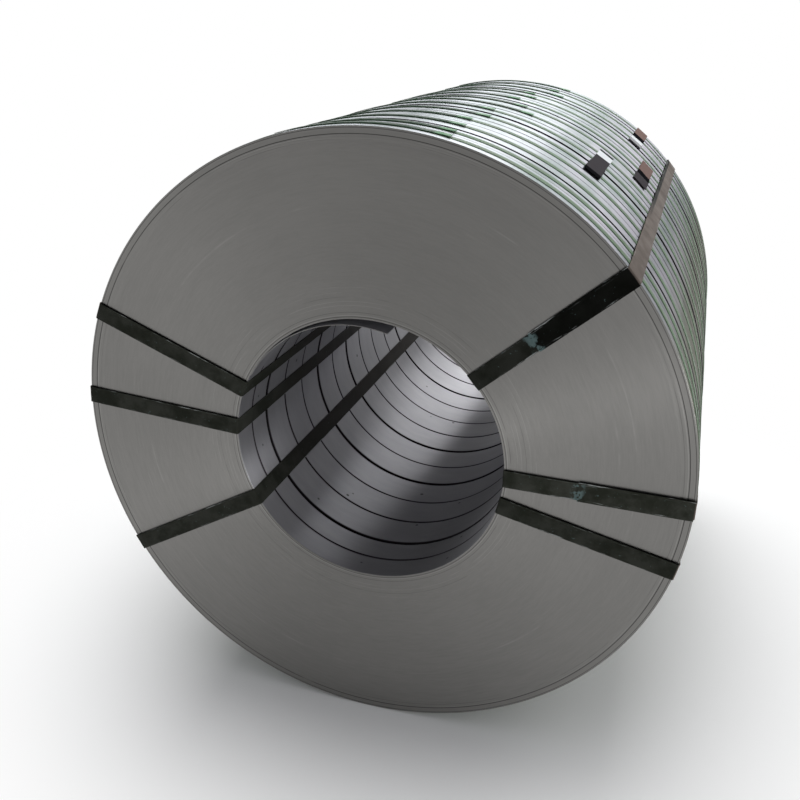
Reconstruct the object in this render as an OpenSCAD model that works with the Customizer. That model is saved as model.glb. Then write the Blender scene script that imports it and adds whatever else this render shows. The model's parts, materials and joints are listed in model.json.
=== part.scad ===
// Bundle of slit steel coils lying on its side: narrow coils threaded on one axis,
// each held by its own green plastic band and all bound by steel straps through the eye.
// The axis runs along Y, the front end faces -Y, and the floor is at Z = 0.

/* [Slit coils] */
// Bore through the coils
bore_d = 508; // [400:1:620]
// Outside diameter of the coils
coil_od = 1144; // [900:2:1400]
// Number of narrow coils at the front end
narrow_count = 2; // [1:1:3]
// Width of a narrow coil
narrow_w = 58; // [45:1:80]
// Number of wide coils behind the narrow ones
wide_count = 12; // [9:1:13]
// Width of a wide coil
wide_w = 85; // [60:1:110]
// Space in a joint where two coils stand close
close_joint = 1.5; // [0.5:0.1:3]
// Space in a joint that stands open
open_joint = 6; // [2:0.1:9]

/* [Turns on the end faces] */
// Number of turn lines on each end of the bundle
turn_lines = 22; // [6:1:30]
// Width of a turn line
turn_line_w = 1; // [0.5:0.1:2]
// Depth of a turn line
turn_line_depth = 0.5; // [0.2:0.1:1]
// Plain rim beside the bore and beside the outer edge
turn_rim = 7; // [4:1:20]

/* [Plastic bands] */
// Width of the band round each coil
band_w = 19; // [9:1:32]
// Thickness of the band
band_t = 0.9; // [0.5:0.1:1.2]

/* [Steel straps] */
// Width of a strap
strap_w = 32; // [19:1:40]
// Thickness of a strap
strap_t = 0.9; // [0.6:0.1:1]
// Space between a strap and the end faces that it crosses
strap_stand = 3; // [0.5:0.5:6]
// Width of a strap's overlapping end
strap_lap_w = 36; // [33:1:44]
// Distance of an overlap's inner end from the outside of the coils
strap_lap_reach = 190; // [80:5:250]
// Depth that an overlapping end is pressed into the strap under it
strap_lap_press = 0.4; // [0.1:0.1:0.5]

/* [Tie plates] */
// Number of coils that a tie plate holds together
tie_coils = 3; // [2:1:3]
// Width of a tie plate
tie_w = 34; // [20:1:50]
// Thickness of a tie plate
tie_t = 0.9; // [0.5:0.1:1.2]
// Length of the clamp round a tie plate's front end
tie_clamp_l = 95; // [40:5:120]
// Height of the clamp above the plate
tie_clamp_t = 1.1; // [0.5:0.1:1.5]
// Distance of a tie plate's ends from the edges of its coils
tie_inset = 4; // [1:1:15]

/* [Hidden] */
$fn = 96;

bore_r = bore_d / 2;
coil_r = coil_od / 2;
coil_count = narrow_count + wide_count;
axis_z = coil_r + band_t;

// Joints that stand open, counted from the front
open_joints = [2, 5, 7, 11];
function width_of(i) = i <= narrow_count ? narrow_w : wide_w;
function joint_after(i) = len(search(i, open_joints)) > 0 ? open_joint : close_joint;
function sum_to(i, f) = i < 1 ? 0 : f(i) + sum_to(i - 1, f);
function coil_start(i) = sum_to(i - 1, function(k) width_of(k) + joint_after(k));
function coil_middle(i) = coil_start(i) + width_of(i) / 2;
bundle_w = coil_start(coil_count) + width_of(coil_count);

// Angle of each strap round the axis, from the right-hand side upwards
strap_angles = [40, -1.6, -13.8, 157.3, 175.3, 209];
// Straps whose ends overlap on the front face
lapped_straps = [1, 2];
strap_count = len(strap_angles);
band_top = coil_r + band_t;
strap_top = band_top + strap_t;
// Extra sweep that lets a turned shape reach past a strip's straight edges
strip_spare_deg = 2;

// Each tie plate's front coil and its angle round the axis
ties = [[5, 55], [8, 46], [12, 51.5]];
tie_count = len(ties);

turn_pitch = (coil_r - bore_r - 2 * turn_rim) / (turn_lines - 1);

function arc_deg(length, radius) = length / radius * 180 / PI;

// Lays a shape that was turned round Z on its side: its Z becomes the distance behind the front face
module lay_down() {
    translate([0, -bundle_w / 2, axis_z])
        rotate([-90, 0, 0])
            mirror([0, 1, 0])
                children();
}

// Shallow rings cut into an end face, one for each turn line
module turn_rings(depth_from) {
    for (k = [0:turn_lines - 1])
        translate([bore_r + turn_rim + k * turn_pitch - turn_line_w / 2, depth_from])
            square([turn_line_w, turn_line_depth]);
}

// One slit coil: a turned ring, with turn lines where its end shows
module slit_coil(i) {
    color("silver")
        lay_down()
            translate([0, 0, coil_start(i)])
                rotate_extrude()
                    difference() {
                        translate([bore_r, 0])
                            square([coil_r - bore_r, width_of(i)]);
                        if (i == 1)
                            turn_rings(0);
                        if (i == coil_count)
                            turn_rings(width_of(i) - turn_line_depth);
                    }
}

// The plastic band round the middle of a coil
module band(i) {
    color("seagreen")
        lay_down()
            translate([0, 0, coil_middle(i) - band_w / 2])
                rotate_extrude()
                    translate([coil_r, 0])
                        square([band_t, band_w]);
}

// A strip of the given width, straight along a radius, cut from a shape turned round the axis
module radial_strip(angle, width) {
    sweep = 2 * asin(width / 2 / (bore_r - strap_t)) + strip_spare_deg;
    intersection() {
        rotate([0, 0, angle - sweep / 2])
            rotate_extrude(angle = sweep)
                children();
        rotate([0, 0, angle])
            translate([0, -width / 2, -bundle_w])
                cube([2 * coil_r, width, 3 * bundle_w]);
    }
}

// One steel strap: through the bore, over both end faces and along the outside on top of the bands
module strap(i) {
    angle = strap_angles[i - 1];
    lap_r = coil_r - strap_lap_reach;
    color("dimgray")
        lay_down()
            union() {
                radial_strip(angle, strap_w)
                    difference() {
                        translate([bore_r - strap_t, -strap_stand - strap_t])
                            square([strap_top - bore_r + strap_t, bundle_w + 2 * (strap_stand + strap_t)]);
                        translate([bore_r, -strap_stand])
                            square([band_top - bore_r, bundle_w + 2 * strap_stand]);
                    }
                if (len(search(i, lapped_straps)) > 0)
                    radial_strip(angle, strap_lap_w)
                        translate([lap_r, -strap_stand - 2 * strap_t])
                            square([coil_r - lap_r, strap_t + strap_lap_press]);
            }
}

// A flat plate that ties neighbouring coils together, on top of their bands, with its clamp
module tie_plate(i) {
    first = ties[i - 1][0];
    last = min(first + tie_coils - 1, coil_count);
    front = coil_start(first) + tie_inset;
    length = coil_start(last) + width_of(last) - tie_inset - front;
    span = arc_deg(tie_w, band_top);
    color("darkslategray")
        lay_down()
            rotate([0, 0, ties[i - 1][1] - span / 2])
                rotate_extrude(angle = span)
                    translate([band_top, front])
                        union() {
                            square([tie_t, length]);
                            square([tie_t + tie_clamp_t, tie_clamp_l]);
                        }
}

for (i = [1:coil_count]) {
    slit_coil(i);
    band(i);
}
for (i = [1:strap_count])
    strap(i);
for (i = [1:tie_count])
    tie_plate(i);
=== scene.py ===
"""Looks of a bundle of slit steel coils: wound strip, plastic bands, steel straps and tie plates.

Every piece is modelled round the Y axis through the origin and then lifted to the bundle's axis.
Angles are measured round that axis, from the right-hand side (+X) upwards. Sizes are in metres.
"""
import json
import logging
import math
import random
from contextlib import contextmanager
from dataclasses import dataclass
from enum import Enum
from typing import Any, Callable, Iterator

import bmesh
import bpy
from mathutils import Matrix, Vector


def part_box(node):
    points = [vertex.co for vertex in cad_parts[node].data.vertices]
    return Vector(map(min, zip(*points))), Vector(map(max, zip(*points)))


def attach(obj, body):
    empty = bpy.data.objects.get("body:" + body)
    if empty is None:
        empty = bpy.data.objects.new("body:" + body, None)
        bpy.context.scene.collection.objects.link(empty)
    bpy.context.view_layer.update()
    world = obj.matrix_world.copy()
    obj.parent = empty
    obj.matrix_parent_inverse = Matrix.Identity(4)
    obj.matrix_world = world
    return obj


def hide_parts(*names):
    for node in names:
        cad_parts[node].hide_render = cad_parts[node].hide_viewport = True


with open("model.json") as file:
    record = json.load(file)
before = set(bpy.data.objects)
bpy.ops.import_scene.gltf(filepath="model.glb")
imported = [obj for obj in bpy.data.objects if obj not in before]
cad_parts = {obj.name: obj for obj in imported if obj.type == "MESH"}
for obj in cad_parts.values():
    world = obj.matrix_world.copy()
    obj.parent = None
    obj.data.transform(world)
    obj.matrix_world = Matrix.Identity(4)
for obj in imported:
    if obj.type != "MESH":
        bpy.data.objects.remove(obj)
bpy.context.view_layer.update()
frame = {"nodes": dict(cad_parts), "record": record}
LOG = logging.getLogger("coil_bundle")
SEEN_RAYS = ("Is Camera Ray", "Is Glossy Ray", "Is Transmission Ray")
TOUCH = 0.000001    # points this close count as one place when they are picked
MERGE = 0.000002    # points this close are merged

Colour = tuple[float, float, float]
Place = tuple[float, float, float]
Pair = tuple[float, float]
Piece = bpy.types.Object
Socket = bpy.types.NodeSocket
Material = bpy.types.Material


class Part(Enum):
    """The kinds of mesh part that an operator can work on."""

    VERT = "VERT"
    EDGE = "EDGE"
    FACE = "FACE"


class Lie(Enum):
    """How a new plane lies, as its turn in degrees about X, Y and Z."""

    PROFILE = (0, 0, 0)    # across the wound strip: X is the radius and Y the depth
    FRONT = (90, 0, 0)     # on the end face that looks along -Y
    OUTSIDE = (0, 90, 0)   # on the outside, looking along +X: its first side runs along Z


class End(Enum):
    """The two ends of the bundle, by the side of a coil that they are on."""

    FRONT = 0
    BACK = 1


@dataclass(frozen=True)
class Bundle:
    """Sizes of the whole bundle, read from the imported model."""

    axis_z: float
    bore_r: float
    coil_r: float
    band_t: float
    front_y: float
    back_y: float
    coil_count: int

    @classmethod
    def from_frame(cls) -> "Bundle":
        """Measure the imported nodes.

        Returns:
            The bundle's sizes in metres.
        """
        mount = frame["record"]["mounts"][0]
        count = sum(name.startswith("slit_coil_") for name in frame["nodes"])
        first_low, first_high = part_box("slit_coil_1")
        band_low, band_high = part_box("band_1")
        _, last_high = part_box(f"slit_coil_{count}")
        coil_r = (first_high[0] - first_low[0]) / 2
        return cls(
            axis_z=mount["pos_m"][2],
            bore_r=mount["dims"]["r_mm"] / 1000,
            coil_r=coil_r,
            band_t=(band_high[0] - band_low[0]) / 2 - coil_r,
            front_y=first_low[1],
            back_y=last_high[1],
            coil_count=count,
        )

    @property
    def band_top(self) -> float:
        """Radius of the bands' outside."""
        return self.coil_r + self.band_t


class Bench:
    """Hand tools that the pieces share: start, select, shape and set down with Blender's operators."""

    @staticmethod
    def clear() -> None:
        """Deselect everything in object mode."""
        bpy.ops.object.select_all(action="DESELECT")

    @staticmethod
    def take(piece: Piece) -> None:
        """Select one piece by itself and make it active.

        Args:
            piece: the piece.
        """
        Bench.clear()
        piece.select_set(True)
        bpy.context.view_layer.objects.active = piece

    @staticmethod
    def add_plane(name: str, centre: Place, size: Pair, lie: Lie) -> Piece:
        """Add a plane at its size and place, as the start of a piece.

        Args:
            name: the piece's name.
            centre: where the plane's middle goes.
            size: its two side lengths.
            lie: how it lies.

        Returns:
            The new object, with its place in its mesh.
        """
        Bench.clear()
        turn = tuple(math.radians(angle) for angle in lie.value)
        bpy.ops.mesh.primitive_plane_add(size=1.0, location=centre, rotation=turn)
        piece = bpy.context.object
        piece.name = piece.data.name = name
        piece.scale = (*size, 1.0)
        bpy.ops.object.transform_apply(location=True, rotation=True, scale=True)
        return piece

    @staticmethod
    @contextmanager
    def shaping(piece: Piece) -> Iterator[None]:
        """Keep a piece in edit mode for the lines inside.

        Args:
            piece: the piece.

        Returns:
            A context for a with statement.
        """
        Bench.take(piece)
        bpy.ops.object.mode_set(mode="EDIT")
        yield
        bpy.ops.object.mode_set(mode="OBJECT")

    @staticmethod
    def pick(piece: Piece, part: Part, test: Callable[[Any], bool]) -> None:
        """Select only the mesh parts that pass a test.

        Args:
            piece: the piece in edit mode.
            part: whether vertices, edges or faces are tested.
            test: says of one bmesh part whether it is wanted.
        """
        bpy.ops.mesh.select_mode(type=part.value)
        bpy.ops.mesh.select_all(action="DESELECT")
        mesh = bmesh.from_edit_mesh(piece.data)
        parts = {Part.VERT: mesh.verts, Part.EDGE: mesh.edges, Part.FACE: mesh.faces}[part]
        for item in parts:
            if test(item):
                item.select_set(True)
        mesh.select_flush_mode()
        bmesh.update_edit_mesh(piece.data)

    @staticmethod
    def outline_only(round_off: float, segments: int) -> None:
        """Round the corners of the plane being shaped and keep only its outline.

        Args:
            round_off: how much of each corner is taken off.
            segments: number of steps round a corner.
        """
        bpy.ops.mesh.select_all(action="SELECT")
        bpy.ops.mesh.bevel(offset=round_off, segments=segments, affect="VERTICES")
        bpy.ops.mesh.select_all(action="SELECT")
        bpy.ops.mesh.delete(type="ONLY_FACE")

    @staticmethod
    def turn(steps: int, degrees: float, centre: Place = (0, 0, 0)) -> None:
        """Spin the whole outline upwards round a line along Y.

        Args:
            steps: number of steps.
            degrees: how far it turns.
            centre: a point on the line.
        """
        bpy.ops.mesh.select_all(action="SELECT")
        bpy.ops.mesh.spin(steps=steps, angle=math.radians(degrees), center=centre, axis=(0, 1, 0))

    @staticmethod
    def cap_ends(piece: Piece) -> None:
        """Fill the open ends of the piece being shaped.

        Args:
            piece: the piece in edit mode.
        """
        Bench.pick(piece, Part.EDGE, lambda edge: edge.is_boundary)
        bpy.ops.mesh.fill()

    @staticmethod
    def close_up() -> None:
        """Merge what meets and turn the faces outwards."""
        bpy.ops.mesh.select_mode(type="VERT")
        bpy.ops.mesh.select_all(action="SELECT")
        bpy.ops.mesh.remove_doubles(threshold=MERGE)
        bpy.ops.mesh.normals_make_consistent(inside=False)

    @staticmethod
    def ripple(height: float, seed: int) -> None:
        """Make the surface being shaped a little uneven.

        Args:
            height: the most that a point moves.
            seed: the unevenness to take.
        """
        bpy.ops.mesh.select_all(action="SELECT")
        bpy.ops.transform.vertex_random(offset=height, uniform=0.0, normal=1.0, seed=seed)

    @staticmethod
    def thicken(piece: Piece, thickness: float) -> None:
        """Give a sheet its thickness on the side that it faces.

        Args:
            piece: the sheet in object mode.
            thickness: its thickness.
        """
        Bench.take(piece)
        bpy.ops.object.modifier_add(type="SOLIDIFY")
        modifier = piece.modifiers[-1]
        modifier.thickness = thickness
        modifier.offset = 1.0
        bpy.ops.object.modifier_apply(modifier=modifier.name)

    @staticmethod
    def join(pieces: list[Piece]) -> Piece:
        """Join pieces into the first one.

        Args:
            pieces: the pieces.

        Returns:
            The first piece, with the others in it.
        """
        Bench.take(pieces[0])
        for piece in pieces:
            piece.select_set(True)
        bpy.ops.object.join()
        return bpy.context.object

    @staticmethod
    def copy(piece: Piece, name: str) -> Piece:
        """Copy a piece with a mesh of its own.

        Args:
            piece: what is copied.
            name: the copy's name.

        Returns:
            The copy.
        """
        Bench.take(piece)
        bpy.ops.object.duplicate(linked=False)
        twin = bpy.context.object
        twin.name = twin.data.name = name
        return twin

    @staticmethod
    def slide(piece: Piece, depth: float) -> None:
        """Move a piece along Y and put that place in its mesh.

        Args:
            piece: the piece.
            depth: how far it moves.
        """
        Bench.take(piece)
        piece.location.y = depth
        bpy.ops.object.transform_apply(location=True, rotation=False, scale=False)

    @staticmethod
    def set_down(piece: Piece, bundle: Bundle, degrees: float = 0.0, depth: float = 0.0,
                 spread: float = 1.0) -> None:
        """Turn a piece to its angle, lift it to the bundle's axis and put that place in its mesh.

        Args:
            piece: the piece, modelled round the Y axis.
            bundle: the bundle that it belongs to.
            degrees: its angle round the axis.
            depth: how far it moves along Y.
            spread: how much larger it gets round the axis.
        """
        Bench.take(piece)
        piece.rotation_euler = (0, -math.radians(degrees), 0)
        piece.location = (0, depth, bundle.axis_z)
        piece.scale = (spread, 1, spread)
        bpy.ops.object.transform_apply(location=True, rotation=True, scale=True)

    @staticmethod
    def dress(piece: Piece, material: Material, slot: str, *nodes: str, smooth: float = 35) -> None:
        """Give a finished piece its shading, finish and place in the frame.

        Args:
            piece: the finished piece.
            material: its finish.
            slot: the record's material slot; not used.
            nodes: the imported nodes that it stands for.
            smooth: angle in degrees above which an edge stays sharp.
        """
        Bench.take(piece)
        bpy.ops.object.shade_smooth_by_angle(angle=math.radians(smooth))
        piece.data.materials.clear()
        piece.data.materials.append(material)
        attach(piece, "root")
        if nodes:
            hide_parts(*nodes)
        stands_for = ", ".join(nodes) or "no node"
        LOG.info("%s: %d faces, stands for %s", piece.name, len(piece.data.polygons), stands_for)


class Sheet:
    """A material's node tree, with short calls for the nodes that the finishes share."""

    def __init__(self, name: str) -> None:
        """Start an empty material with one shader.

        Args:
            name: the material's name.
        """
        self.material = bpy.data.materials.new(name)
        self.material.use_nodes = True
        self.tree = self.material.node_tree
        self.tree.nodes.clear()
        self.output = self.tree.nodes.new("ShaderNodeOutputMaterial")
        self.shader = self.tree.nodes.new("ShaderNodeBsdfPrincipled")
        self.tree.links.new(self.shader.outputs[0], self.output.inputs["Surface"])

    def node(self, kind: str, **settings: Any) -> bpy.types.Node:
        """Add a node and set its own options.

        Args:
            kind: the node's type name.
            settings: its options.

        Returns:
            The node.
        """
        made = self.tree.nodes.new(kind)
        for key, value in settings.items():
            setattr(made, key, value)
        return made

    def put(self, socket: Socket, value: Any) -> None:
        """Link a socket to another, or set its value.

        Args:
            socket: the socket that takes the value.
            value: a socket, a number, or a colour of three numbers.
        """
        if isinstance(value, bpy.types.NodeSocket):
            self.tree.links.new(value, socket)
        elif isinstance(value, tuple) and socket.type == "RGBA":
            socket.default_value = (*value, 1.0)
        else:
            socket.default_value = value

    def shade(self, **inputs: Any) -> None:
        """Set inputs of the shader, named with underscores for spaces."""
        for key, value in inputs.items():
            self.put(self.shader.inputs[key.replace("_", " ")], value)

    def attribute(self, name: str) -> Socket:
        """Read a number that is stored on the mesh's points."""
        return self.node("ShaderNodeAttribute", attribute_name=name).outputs["Fac"]

    def parts(self, vector: Socket) -> tuple[Socket, Socket, Socket]:
        """Take a vector apart.

        Args:
            vector: the vector.

        Returns:
            Its X, Y and Z.
        """
        made = self.node("ShaderNodeSeparateXYZ")
        self.put(made.inputs[0], vector)
        return tuple(made.outputs)

    def math(self, operation: str, first: Any, second: Any = None, third: Any = None) -> Socket:
        """Do one sum.

        Args:
            operation: the Math node's operation.
            first: its first value.
            second: its second value, if it takes one.
            third: its third value, if it takes one.

        Returns:
            The result.
        """
        made = self.node("ShaderNodeMath", operation=operation)
        for socket, value in zip(made.inputs, (first, second, third)):
            if value is not None:
                self.put(socket, value)
        return made.outputs[0]

    def times(self, first: Any, second: Any) -> Socket:
        """Multiply two numbers."""
        return self.math("MULTIPLY", first, second)

    def apart(self, first: Any, second: Any) -> Socket:
        """Give the distance between two numbers."""
        return self.math("ABSOLUTE", self.math("SUBTRACT", first, second))

    def weigh(self, *shares: tuple[Any, float]) -> Socket:
        """Add up values, each times its weight.

        Args:
            shares: the values with their weights.

        Returns:
            The sum.
        """
        total: Any = 0.0
        for value, weight in shares:
            total = self.math("MULTIPLY_ADD", value, weight, total)
        return total

    def step(self, value: Any, low: float, high: float, start: float = 0.0, end: float = 1.0) -> Socket:
        """Change smoothly from one number to another while a value goes from low to high.

        Args:
            value: what is watched.
            low: where the change starts.
            high: where it ends.
            start: the result below low.
            end: the result above high.

        Returns:
            The result.
        """
        made = self.node("ShaderNodeMapRange", interpolation_type="SMOOTHSTEP")
        for socket, number in zip(made.inputs, (value, low, high, start, end)):
            self.put(socket, number)
        return made.outputs[0]

    def blend(self, share: Any, first: Any, second: Any) -> Socket:
        """Mix two colours.

        Args:
            share: how much of the second there is.
            first: the first colour.
            second: the second colour.

        Returns:
            The mixed colour.
        """
        made = self.node("ShaderNodeMix", data_type="RGBA")
        self.put(made.inputs["Factor"], share)
        colours = [socket for socket in made.inputs if socket.type == "RGBA"]
        self.put(colours[0], first)
        self.put(colours[1], second)
        return next(socket for socket in made.outputs if socket.type == "RGBA")

    def join(self, x: Any, y: Any, z: Any) -> Socket:
        """Make a vector from three numbers.

        Args:
            x: the first number.
            y: the second number.
            z: the third number.

        Returns:
            The vector.
        """
        made = self.node("ShaderNodeCombineXYZ")
        for socket, value in zip(made.inputs, (x, y, z)):
            self.put(socket, value)
        return made.outputs[0]

    def noise(self, vector: Socket, scale: float, detail: float = 2.0, roughness: float = 0.5) -> Socket:
        """Make soft noise from 0 to 1.

        Args:
            vector: where it is read.
            scale: its fineness.
            detail: its octaves.
            roughness: how strong the finer octaves are.

        Returns:
            The noise.
        """
        made = self.node("ShaderNodeTexNoise")
        keys = ("Vector", "Scale", "Detail", "Roughness")
        for key, value in zip(keys, (vector, scale, detail, roughness)):
            self.put(made.inputs[key], value)
        return made.outputs["Fac"]

    def specks(self, vector: Socket, scale: float, size: float, core: float = 0.6) -> Socket:
        """Make small round specks.

        Args:
            vector: where they are read.
            scale: how many there are to a unit.
            size: their size as a share of their spacing.
            core: the share of a speck that is full.

        Returns:
            1 in a speck and 0 outside it.
        """
        made = self.node("ShaderNodeTexVoronoi")
        self.put(made.inputs["Vector"], vector)
        self.put(made.inputs["Scale"], scale)
        return self.step(made.outputs["Distance"], size * core, size, 1.0, 0.0)

    def bump(self, height: Socket, distance: float, strength: float = 1.0) -> Socket:
        """Make a bumped normal.

        Args:
            height: the relief, from 0 to 1.
            distance: the relief's height in metres.
            strength: how much of it counts.

        Returns:
            The normal.
        """
        made = self.node("ShaderNodeBump")
        for key, value in (("Strength", strength), ("Distance", distance), ("Height", height)):
            self.put(made.inputs[key], value)
        return made.outputs["Normal"]


@dataclass(frozen=True)
class Grain:
    """How fine a noise is that is drawn out round the bundle's axis."""

    across: float    # how quickly it changes across the lines
    along: float     # how quickly it changes along them
    detail: float
    roughness: float = 0.6


@dataclass
class RoundPlace:
    """Where a point of a surface is, measured round the bundle's axis."""

    sheet: Sheet
    axis_z: float

    def __post_init__(self) -> None:
        """Read the point and work out its radius, depth and direction."""
        sheet = self.sheet
        self.point = sheet.node("ShaderNodeTexCoord").outputs["Object"]
        side, self.depth, height = sheet.parts(self.point)
        rise = sheet.math("SUBTRACT", height, self.axis_z)
        square = sheet.math("ADD", sheet.times(side, side), sheet.times(rise, rise))
        self.radius = sheet.math("SQRT", square)
        self.across = sheet.math("DIVIDE", side, self.radius)
        self.up = sheet.math("DIVIDE", rise, self.radius)
        self.angle = sheet.math("ARCTAN2", rise, side)

    def drawn(self, across: Socket, grain: Grain) -> Socket:
        """Make noise in lines that run round the axis.

        Args:
            across: what it changes quickly with: the radius on an end, the depth on a flat side.
            grain: its fineness.

        Returns:
            The noise.
        """
        sheet = self.sheet
        vector = sheet.join(sheet.times(across, grain.across),
                            sheet.times(self.across, grain.along),
                            sheet.times(self.up, grain.along))
        return sheet.noise(vector, 1.0, grain.detail, grain.roughness)


@dataclass(frozen=True)
class TurnMark:
    """A turn that stands out as a line on the end faces."""

    inset: float    # how far inside the outer edge it lies
    width: float
    tone: Colour
    strength: float
    worn: float     # the share of it that has rubbed away


@dataclass(frozen=True)
class Look:
    """What one kind of surface gives to a shader."""

    colour: Socket
    roughness: Socket
    relief: Socket
    glance: Any     # the tint of what it mirrors at a low angle


@dataclass(frozen=True)
class StripSteel:
    """Cold-rolled strip: bright flat sides, and grey lined ends where its cut edges lie turn on turn."""

    bundle: Bundle
    pull: float = 0.9                              # how far the grain draws reflections out
    end_facing: Pair = (0.55, 0.85)
    relief_height: float = 0.00003
    relief_strength: float = 0.28
    clean_glance: Colour = (1.0, 1.0, 1.0)

    edge_dark: Colour = (0.213, 0.210, 0.202)
    edge_light: Colour = (0.254, 0.249, 0.240)
    edge_change: Pair = (0.42, 0.88)
    edge_roughness: Pair = (0.48, 0.52)
    line_change: Pair = (0.2, 0.8)
    edge_cloud: float = 4.0
    lines: Grain = Grain(240, 11, 2.0)
    fine_lines: Grain = Grain(700, 24, 2.0)
    streaks: Grain = Grain(60, 5, 3.0)
    shadow: Colour = (0.03, 0.029, 0.028)
    gleam: Colour = (0.42, 0.415, 0.40)
    mark_fade: Pair = (0.25, 0.75)                 # where a mark starts to fade and is gone, in its widths
    wear_patches: float = 2.3
    wear_shift: float = 40.0                       # wears each mark in other places
    wear_soft: float = 0.06
    # painted shade: the ends inside the joints between coils are painted near-black
    joint: Colour = (0.012, 0.011, 0.012)
    joint_below: Pair = (0.004, 0.003)             # how far inside the bundle an end is dark, and light

    rolled: Grain = Grain(420, 7, 3.0)
    smears: Grain = Grain(38, 3.2, 3.0, 0.55)
    patches: Grain = Grain(1.6, 9, 4.0)
    calm_change: Pair = (0.3, 0.7)
    patch_change: Pair = (0.3, 0.65)
    rolled_relief: float = 0.25

    bore_dark: Colour = (0.315, 0.315, 0.333)
    bore_light: Colour = (0.352, 0.350, 0.370)
    bore_roughness: float = 0.42
    speck: Colour = (0.03, 0.03, 0.03)
    speck_spread: float = 16.0
    speck_size: float = 0.07
    speck_strength: float = 0.8

    skin_dark: Colour = (0.275, 0.282, 0.296)
    skin_light: Colour = (0.412, 0.414, 0.440)
    skin_roughness: float = 0.32
    # painted reflection: a mint tint toward the top of the skin and a lilac tint lower down, standing for
    # the colour of what it mirrors
    painted_mint_reflection: Colour = (0.83, 0.96, 0.92)
    painted_lilac_reflection: Colour = (0.95, 0.91, 1.0)
    painted_mint_rise: Pair = (0.76, 0.93)                 # heights on the unit circle
    painted_lilac_left: float = 0.35
    # painted shade and painted reflection: the lower flank of the skin is painted darker and olive, and
    # mirrors a dark olive tint
    low_flank_shade: Colour = (0.215, 0.220, 0.165)
    low_flank_reflection: Colour = (0.06, 0.07, 0.025)
    low_flank_rise: Pair = (0.34, 0.62)
    low_flank_strength: float = 0.6
    # painted shade: a soft dark mauve band along each joint on the flat sides, with a darker tint in what
    # it mirrors
    seam_shade: Colour = (0.075, 0.064, 0.075)
    seam_shade_glance: Colour = (0.16, 0.12, 0.16)
    seam_shade_from: Pair = (0.945, 0.995)
    seam_shade_rag: float = 0.05

    def marks(self) -> list[TurnMark]:
        """List the turns that stand out: a few at the outer edge, faint ones inside it, several at the eye.

        Returns:
            The marks, from the outer edge inwards.
        """
        wall = self.bundle.coil_r - self.bundle.bore_r
        return [
            TurnMark(0.0035, 0.0011, self.shadow, 0.7, 0.2),
            TurnMark(0.0130, 0.0014, self.shadow, 0.8, 0.38),
            TurnMark(0.0158, 0.0009, self.gleam, 0.4, 0.5),
            TurnMark(0.0215, 0.0008, self.shadow, 0.35, 0.5),
            TurnMark(0.0960, 0.0024, self.gleam, 0.2, 0.56),
            TurnMark(0.1240, 0.0030, self.gleam, 0.2, 0.56),
            TurnMark(wall - 0.0560, 0.0012, self.gleam, 0.18, 0.54),
            TurnMark(wall - 0.0470, 0.0010, self.gleam, 0.22, 0.52),
            TurnMark(wall - 0.0390, 0.0010, self.shadow, 0.25, 0.5),
            TurnMark(wall - 0.0310, 0.0010, self.gleam, 0.26, 0.5),
            TurnMark(wall - 0.0240, 0.0010, self.gleam, 0.24, 0.52),
            TurnMark(wall - 0.0120, 0.0009, self.shadow, 0.45, 0.42),
            TurnMark(wall - 0.0065, 0.0009, self.gleam, 0.5, 0.35),
            TurnMark(wall - 0.0040, 0.0010, self.shadow, 0.8, 0.2),
        ]

    def draw_mark(self, place: RoundPlace, colour: Socket, mark: TurnMark) -> Socket:
        """Draw one line round an end face, rubbed away in places.

        Args:
            place: where the surface's points are.
            colour: the colour under the line.
            mark: the line.

        Returns:
            The colour with the line on it.
        """
        sheet = place.sheet
        far = sheet.apart(place.radius, self.bundle.coil_r - mark.inset)
        full, gone = (share * mark.width for share in self.mark_fade)
        line = sheet.step(far, full, gone, mark.strength, 0.0)
        along = sheet.join(sheet.times(place.across, self.wear_patches),
                           sheet.times(place.up, self.wear_patches), self.wear_shift * mark.inset)
        wear = sheet.noise(along, 1.0, detail=4.0, roughness=0.65)
        kept = sheet.step(wear, mark.worn - self.wear_soft, mark.worn + self.wear_soft)
        return sheet.blend(sheet.times(line, kept), colour, mark.tone)

    def end_look(self, place: RoundPlace) -> Look:
        """Make the end faces: satin grey with fine lines along the turns, and painted shade inside the
        joints.

        Args:
            place: where the surface's points are.

        Returns:
            The look of the ends.
        """
        sheet = place.sheet
        cloud = sheet.noise(place.point, self.edge_cloud, detail=3.0)
        lines = place.drawn(place.radius, self.lines)
        fine = place.drawn(place.radius, self.fine_lines)
        streaks = place.drawn(place.radius, self.streaks)
        mix = sheet.weigh((lines, 0.5), (cloud, 0.35), (fine, 0.25), (streaks, 0.2))
        colour = sheet.blend(sheet.step(mix, *self.edge_change), self.edge_dark, self.edge_light)
        for mark in self.marks():
            colour = self.draw_mark(place, colour, mark)
        # Painted shade: ends deeper inside the bundle than the outermost faces take the near-black joint
        # colour.
        half = (self.bundle.back_y - self.bundle.front_y) / 2
        dark, light = (half - depth for depth in self.joint_below)
        outermost = sheet.step(sheet.math("ABSOLUTE", place.depth), dark, light)
        return Look(colour=sheet.blend(outermost, self.joint, colour),
                    roughness=sheet.step(lines, *self.line_change, *self.edge_roughness),
                    relief=sheet.weigh((fine, 0.6), (lines, 0.4)),
                    glance=self.clean_glance)

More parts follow.
